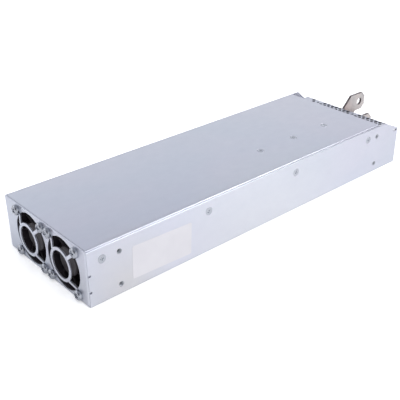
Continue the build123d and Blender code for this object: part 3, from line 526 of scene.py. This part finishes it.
# fan screws: eight pan heads on the panel's guards, each turned its own way
pan_radius, pan_height, pan_shank, pan_length, pan_reach = 3.9, 2.8, 1.74, 12.0, 2.2
fan_screw_half_pitch = 16.0
guard_rise = 2.3
fan_screw_spins = [20, 65, 40, 5, 50, 30, 75, 12]
panel_face = node_box("fan_panel")[0][1] + guard_rise
corners = [(x + dx, panel_face, z + dz) for x, z in fans for dx in (-fan_screw_half_pitch, fan_screw_half_pitch)
           for dz in (-fan_screw_half_pitch, fan_screw_half_pitch)]
screw_node("fan_screws", pan_head(pan_radius, pan_height, pan_shank, pan_length, pan_reach),
           corners, to_front, fan_screw_spins)

# flush screws: in the side walls, the cover and the foot of the fan panel
flush_radius, flush_shank, flush_length, foot_screw_length = 3.0, 1.45, 6.0, 2.9
flush_reach, flush_depth, cover_screw_reach, cover_screw_depth = 1.35, 0.5, 1.2, 0.25
side_screw_count, cover_screw_count = 4, 3
screw = flush_head(flush_length, flush_reach, flush_depth)
for name, turn, side in (("right_side_screws", to_right, 1), ("left_side_screws", to_left, 0)):
    low, high = node_box(name)
    face = (low, high)[side][0]
    height = (low[2] + high[2]) / 2
    rows = np.linspace(low[1] + flush_radius, high[1] - flush_radius, side_screw_count)
    screw_node(name, screw, [(face, y, height) for y in rows], turn, [27 * k + 10 for k in range(len(rows))])
low, high = node_box("cover_screws")
rows = np.linspace(low[1] + flush_radius, high[1] - flush_radius, cover_screw_count)
screw_node("cover_screws", flush_head(flush_length, cover_screw_reach, cover_screw_depth),
           [((low[0] + high[0]) / 2, y, high[2]) for y in rows], to_sky, [20 * k + 35 for k in range(len(rows))])
low, high = node_box("fan_panel_screws")
screw_node("fan_panel_screws", flush_head(foot_screw_length, flush_reach, flush_depth),
           [(x, (low[1] + high[1]) / 2, low[2]) for x in (low[0] + flush_radius, high[0] - flush_radius)],
           to_floor, [0, 30])


# clinch nuts of the side threads: a collar in the wall's hole, the thread as ridges 0.6 mm apart
nut_radius, nut_length, nut_collar = 3.6, 1.8, 1.0


def threaded_nut(radius, length, thread, collar, turns=48):
    """A ring about Z, wall face at z = 0: the loop of (r, z) swept through a = 2 pi k / turns."""
    ridges = np.arange(collar - 0.2, -length + 0.1, -0.3)
    bore = [(thread - (0.32 if k % 2 == 0 else 0.04), z) for k, z in enumerate(ridges)]
    loop = [(radius - 0.15, -length), (radius, 0.15 - length), (radius, -0.02), (thread - 0.02, -0.02),
            (thread - 0.02, collar - 0.12), (thread - 0.06, collar - 0.08)] + bore + [(thread, -length)]
    loop = np.array(loop)
    angle = 2 * np.pi * np.arange(turns)[:, None] / turns
    points = np.stack([loop[:, 0] * np.cos(angle), loop[:, 0] * np.sin(angle), loop[:, 1] + 0 * angle], -1)
    return points.reshape(-1, 3), tube_faces(turns, len(loop), True)


mounts = {mount["name"]: mount for mount in frame["record"]["mounts"]}
low, high = node_box("mount_clinch_nuts")
parts = []
for name, face, turn in (("right_side_threads", high[0], to_right), ("left_side_threads", low[0], to_left)):
    place = np.array(mounts[name]["pos_m"]) / mm
    sizes = mounts[name]["dims"]
    part = threaded_nut(nut_radius, nut_length, sizes["hole_r_mm"], nut_collar)
    for dy in (-sizes["spacing_x_mm"] / 2, sizes["spacing_x_mm"] / 2):
        for dz in (-sizes["spacing_y_mm"] / 2, sizes["spacing_y_mm"] / 2):
            parts.append(placed(part, (face, place[1] + dy, place[2] + dz), turn))
finish_piece(surface("mount_clinch_nuts_fine", parts, math.radians(25)), "mount_clinch_nuts")


def hub(radius, length, wall):
    """The impeller's cup as a solid of revolution, its front face dished by 0.5 mm inside a raised rim."""
    boss, bore = 2.7, 1.5
    inner = radius - wall
    profile = [
        (0, -0.5), (3.0, -0.5), (6.0, -0.46), (7.8, -0.3), (8.7, -0.08), (9.2, 0), (9.7, -0.08), (10.1, -0.32),
        (radius - 0.05, -0.8), (radius, -1.3), (radius, -length), (inner, -length), (inner, -1.5 * wall),
        (boss, -1.5 * wall), (boss, -3.6), (bore, -3.6), (bore, -wall), (0, -wall)]
    return turned(profile, 64)


def blade(root, tip, front, rear, twist, lean, thick, rings=7, count=14):
    """A swept blade about Z, front at z = 0, towards -Z.

    Along the chord s runs 0 to 1: the middle line lies at angle a = twist (s - 1/2) + lean (r - root) and depth
    front + (rear - front) s, and the skin stands off it by h = thick (1.1 sqrt(s) (1 - s) + 0.06) on each side.
    """
    r = np.linspace(root, tip, rings)[:, None]
    s = np.linspace(0, 1, count)
    s = np.concatenate([s, s[::-1]])[None, :]
    side = np.concatenate([np.ones(count), -np.ones(count)])[None, :]
    angle = twist * (s - 0.5) + lean * (r - root)
    depth = front + (rear - front) * s
    along = r * twist
    norm = np.hypot(along, rear - front)
    h = thick * (1.1 * np.sqrt(s) * (1 - s) + 0.06) * side
    angle = angle + h * (rear - front) / norm / r
    depth = depth - h * along / norm
    points = np.stack([r * np.cos(angle), -r * np.sin(angle) * np.ones_like(s), -depth * np.ones_like(r)], -1)
    faces = tube_faces(rings, 2 * count, False)
    for ring, flip in ((0, True), ((rings - 1) * 2 * count, False)):
        for k in range(count - 1):
            quad = [ring + k, ring + k + 1, ring + 2 * count - 2 - k, ring + 2 * count - 1 - k]
            faces.append(quad[::-1] if flip else quad)
    return points.reshape(-1, 3), faces


hub_radius, hub_length, hub_wall = 10.4, 20.0, 1.2
blade_count = 7
blade_root, blade_tip, blade_front, blade_rear, blade_thickness = 10.0, 18.2, 1.0, 19.0, 1.5
blade_twist, blade_lean = math.radians(46), math.radians(-1.4)
for k, (x, z) in enumerate(fans, 1):
    name = "fan_%d_impeller" % k
    front = node_box(name)[0][1]
    parts = [placed(hub(hub_radius, hub_length, hub_wall), (x, front, z), to_front)]
    wing = blade(blade_root, blade_tip, blade_front, blade_rear, blade_twist, blade_lean, blade_thickness)
    for turn in range(blade_count):
        parts.append(placed(wing, (x, front, z), spun(to_front, 360 * turn / blade_count)))
    finish_piece(surface(name + "_fine", parts), name)


def sleeved_can(radius, height):
    """A capacitor: sleeve with a rolled groove near its foot, a rolled rim and a scored cross on its top."""
    def score(x, y):
        a = np.maximum(abs(x), abs(y))
        b = np.minimum(abs(x), abs(y))
        return -0.3 * (1 - step(b, 0.15, 0.4)) * (1 - step(a, radius * 0.5, radius * 0.6))
    top = [(radius * u, height - 0.3) for u in np.linspace(0, 0.86, 14)]
    rest = [
        (radius - 0.95, height - 0.22), (radius - 0.6, height), (radius - 0.25, height - 0.1), (radius, height - 0.5),
        (radius, 3.7), (radius - 0.15, 3.3), (radius - 0.55, 2.9), (radius - 0.55, 2.5), (radius - 0.15, 2.1),
        (radius, 1.7), (radius, 0.25), (radius - 0.25, 0.0), (0, 0)]
    return turned(top + rest, 64, (score, [1.0] * len(top) + [0.0] * len(rest)))


def can_node(name, radius, columns, rows):
    """Fine capacitors in place of a node's, in columns across and rows along the case."""
    low, high = node_box(name)
    part = sleeved_can(radius, high[2] - low[2])
    finish_piece(surface(name + "_fine", [
        placed(part, (x, y, low[2])) for x in np.linspace(low[0] + radius, high[0] - radius, columns)
        for y in np.linspace(low[1] + radius, high[1] - radius, rows)]), name)


low, high = node_box("bulk_capacitors")
can_node("bulk_capacitors", (high[1] - low[1]) / 2, 3, 1)
output_can_radius = 5.0
can_node("output_capacitors", output_can_radius, 3, 3)


def wound_coil(radius, bore, height, wire, turns, steps=36, sides=8):
    """A ring core and one wire wound round it.

    The wire's middle line circles the ring once while its section angle q turns turns times: r = m + p |cos q|^0.7,
    z = n + w |sin q|^0.7 with the signs of cos and sin, m and n the middle of the section.
    """
    t = np.arange(turns * steps) / (turns * steps)
    q = 2 * np.pi * t * turns
    a = 2 * np.pi * t
    out_r = np.sign(np.cos(q)) * abs(np.cos(q)) ** 0.7
    out_z = np.sign(np.sin(q)) * abs(np.sin(q)) ** 0.7
    m, p = (radius + bore) / 2, (radius - bore) / 2 - wire
    n, w = height / 2, height / 2 - wire
    r = m + p * out_r
    line = np.stack([r * np.cos(a), r * np.sin(a), n + w * out_z], -1)
    tangent = np.roll(line, -1, 0) - np.roll(line, 1, 0)
    tangent /= np.linalg.norm(tangent, axis=1)[:, None]
    away = np.stack([out_r * np.cos(a), out_r * np.sin(a), out_z], -1)
    away -= (away * tangent).sum(1)[:, None] * tangent
    away /= np.linalg.norm(away, axis=1)[:, None]
    across = np.cross(tangent, away)
    spin = 2 * np.pi * np.arange(sides) / sides
    ring = np.cos(spin)[None, :, None] * away[:, None] + np.sin(spin)[None, :, None] * across[:, None]
    points = (line[:, None] + wire * ring).reshape(-1, 3)
    coil = (points, tube_faces(len(line), sides, True))
    core_rows, core_turns = 56, 16
    q = 2 * np.pi * (np.arange(core_turns) + 0.5) / core_turns
    a = 2 * np.pi * np.arange(core_rows) / core_rows
    half_r, half_z = p - wire, w - wire
    core_r = m + half_r * np.sign(np.cos(q)) * abs(np.cos(q)) ** 0.35
    core_z = n + half_z * np.sign(np.sin(q)) * abs(np.sin(q)) ** 0.35
    points = np.stack([np.cos(a)[:, None] * core_r, np.sin(a)[:, None] * core_r,
                       np.ones(core_rows)[:, None] * core_z], -1).reshape(-1, 3)
    return coil, (points, tube_faces(core_rows, core_turns, True))


# of each choke: radius, bore, height and wire of a coil in millimetres, its turns, and its coils along the case
coils = {
    "boost_choke": (16.0, 6.0, 17.0, 1.1, 18, 1),
    "line_choke": (10.5, 4.5, 16.0, 0.9, 13, 1),
    "output_chokes": (10.0, 4.0, 12.0, 1.0, 12, 2),
}
for name, (radius, bore, height, wire, turns, count) in coils.items():
    low, high = node_box(name)
    middle = (low + high) / 2
    half = (high[0] - low[0]) / 2
    rows = [middle[1]] if count == 1 else np.linspace(low[1] + half, high[1] - half, count)
    wound = wound_coil(radius, bore, height, wire, turns)
    finish_piece(surface(name + "_fine", [
        placed(part, (middle[0], y, low[2])) for y in rows for part in wound]), name)


# ---- stage ----

floor_width, floor_height = 12.0, -0.0002
glow_middle = (0.12, 0.04, 0.0)


def plane(name, size, z):
    """A level square of a size, its middle at height z."""
    half = size / 2
    mesh = bpy.data.meshes.new(name)
    mesh.from_pydata([(-half, -half, z), (half, -half, z), (half, half, z), (-half, half, z)], [], [(0, 1, 2, 3)])
    made = bpy.data.objects.new(name, mesh)
    bpy.context.scene.collection.objects.link(made)
    return made


def floor_finish():
    """Pale matt floor with the object's shadow on it.

    It is lifted to white for the camera, most of all far away, and a little in reflections by the labelled side.
    """
    f = Finish("floor", (0.86, 0.86, 0.865), rough=0.9, specular=0.1)
    shade = f.noise(0.4, detail=1.0)
    f.color(f.mix(f.spread(shade, 0.0, 1.0), (0.855, 0.855, 0.86), (0.87, 0.87, 0.872)))
    f.set("Emission Color", (1, 1, 1, 1))
    path = f.node("ShaderNodeLightPath")
    seen = f.node("ShaderNodeMath", operation="MULTIPLY")
    f.join(path.outputs["Is Camera Ray"], seen.inputs[0])
    f.join(f.spread(f.near((0.0, 0.0, 0.0), 2.2), 1.0, 0.42, 0.0, 0.9), seen.inputs[1])
    mirrored = f.node("ShaderNodeMath", operation="MULTIPLY")
    f.join(path.outputs["Is Glossy Ray"], mirrored.inputs[0])
    f.join(f.patch(glow_middle, 0.2, 0.19), mirrored.inputs[1])
    glow = f.node("ShaderNodeMath", operation="ADD")
    f.join(seen.outputs[0], glow.inputs[0])
    f.join(mirrored.outputs[0], glow.inputs[1])
    f.join(glow.outputs[0], f.shader.inputs["Emission Strength"])
    return f


# the studio's tones by the height of the direction: 0 at the horizon and below it, 1 straight up
sky_stops = [
    (0.0, (0.95, 0.95, 0.95)), (0.3, (0.98, 0.99, 1.0)), (0.46, (0.84, 0.88, 0.97)), (0.55, (0.67, 0.7, 0.8)),
    (0.66, (0.54, 0.57, 0.64)), (0.78, (0.4, 0.42, 0.48)), (1.0, (0.46, 0.48, 0.53))]
# of each dark drape: its direction, the cosines from it at which it begins and is full, and its tone
drapes = [
    ((0.36, -0.8, 0.48), 0.82, 0.94, (0.12, 0.12, 0.15)),
    ((0.52, 0.82, 0.22), 0.84, 0.95, (0.03, 0.03, 0.05))]
sky_strength = 0.93


def sky():
    """Studio walls: white to the camera; in reflections white at the horizon, darker higher up, two drapes."""
    world = bpy.data.worlds.new("studio")
    bpy.context.scene.world = world
    world.use_nodes = True
    tree = world.node_tree
    tree.nodes.clear()
    out = tree.nodes.new("ShaderNodeOutputWorld")
    place = tree.nodes.new("ShaderNodeTexCoord")
    split = tree.nodes.new("ShaderNodeSeparateXYZ")
    tree.links.new(place.outputs["Generated"], split.inputs[0])
    ramp = tree.nodes.new("ShaderNodeValToRGB")
    tones = ramp.color_ramp.elements
    for element, (position, color) in zip(tones, (sky_stops[0], sky_stops[-1])):
        element.position, element.color = position, (*color, 1)
    for position, color in sky_stops[1:-1]:
        tones.new(position).color = (*color, 1)
    tree.links.new(split.outputs["Z"], ramp.inputs["Fac"])
    seen = ramp.outputs["Color"]
    for aim, start, full, color in drapes:
        toward = tree.nodes.new("ShaderNodeVectorMath")
        toward.operation = "DOT_PRODUCT"
        tree.links.new(place.outputs["Generated"], toward.inputs[0])
        toward.inputs[1].default_value = aim
        dark = tree.nodes.new("ShaderNodeMapRange")
        dark.inputs["From Min"].default_value = start
        dark.inputs["From Max"].default_value = full
        tree.links.new(toward.outputs["Value"], dark.inputs["Value"])
        drape = tree.nodes.new("ShaderNodeMix")
        drape.data_type = "RGBA"
        drape.inputs[7].default_value = (*color, 1)
        tree.links.new(dark.outputs["Result"], drape.inputs[0])
        tree.links.new(seen, drape.inputs[6])
        seen = drape.outputs[2]
    walls = tree.nodes.new("ShaderNodeBackground")
    walls.inputs["Strength"].default_value = sky_strength
    tree.links.new(seen, walls.inputs["Color"])
    white = tree.nodes.new("ShaderNodeBackground")
    white.inputs["Color"].default_value = (1, 1, 1, 1)
    path = tree.nodes.new("ShaderNodeLightPath")
    mixed = tree.nodes.new("ShaderNodeMixShader")
    tree.links.new(path.outputs["Is Camera Ray"], mixed.inputs[0])
    tree.links.new(walls.outputs[0], mixed.inputs[1])
    tree.links.new(white.outputs[0], mixed.inputs[2])
    tree.links.new(mixed.outputs[0], out.inputs["Surface"])


def lamp(name, place, size, power, mirrored=True):
    """A square soft box at place that shines towards the origin, seen in reflections where mirrored."""
    data = bpy.data.lights.new(name, "AREA")
    data.shape = "SQUARE"
    data.size = size
    data.energy = power
    made = bpy.data.objects.new(name, data)
    made.location = place
    made.rotation_euler = (-Vector(place)).to_track_quat("-Z", "Y").to_euler()
    made.visible_glossy = mirrored
    bpy.context.scene.collection.objects.link(made)


def camera(place, direction, roll, lens):
    """The photo's camera, fitted to the case's edges."""
    data = bpy.data.cameras.new("camera")
    data.lens = lens
    data.sensor_width = 36.0
    data.clip_start, data.clip_end = 0.01, 20.0
    made = bpy.data.objects.new("camera", data)
    turn = Vector(direction).to_track_quat("-Z", "Y").to_matrix() @ Matrix.Rotation(roll, 3, "Z")
    made.matrix_world = Matrix.Translation(place) @ turn.to_4x4()
    bpy.context.scene.collection.objects.link(made)
    bpy.context.scene.camera = made


floor = plane("floor", floor_width, floor_height)
floor.data.materials.append(floor_finish().material)
sky()
lamp("key", (0.65, -0.12, 1.38), 1.4, 14.5, mirrored=False)
lamp("fill", (-1.2, -0.9, 0.9), 1.2, 2.5)
lamp("edge_front", (0.62, 0.5, 0.95), 0.26, 1.7)
lamp("edge_rear", (0.38, 0.78, 0.9), 0.34, 2.2)
camera(place=(0.37572, -0.35262, 0.28109), direction=(-0.65971, 0.57843, -0.47979), roll=math.radians(-0.435),
       lens=65.479)
bpy.context.scene.view_settings.view_transform = "Standard"
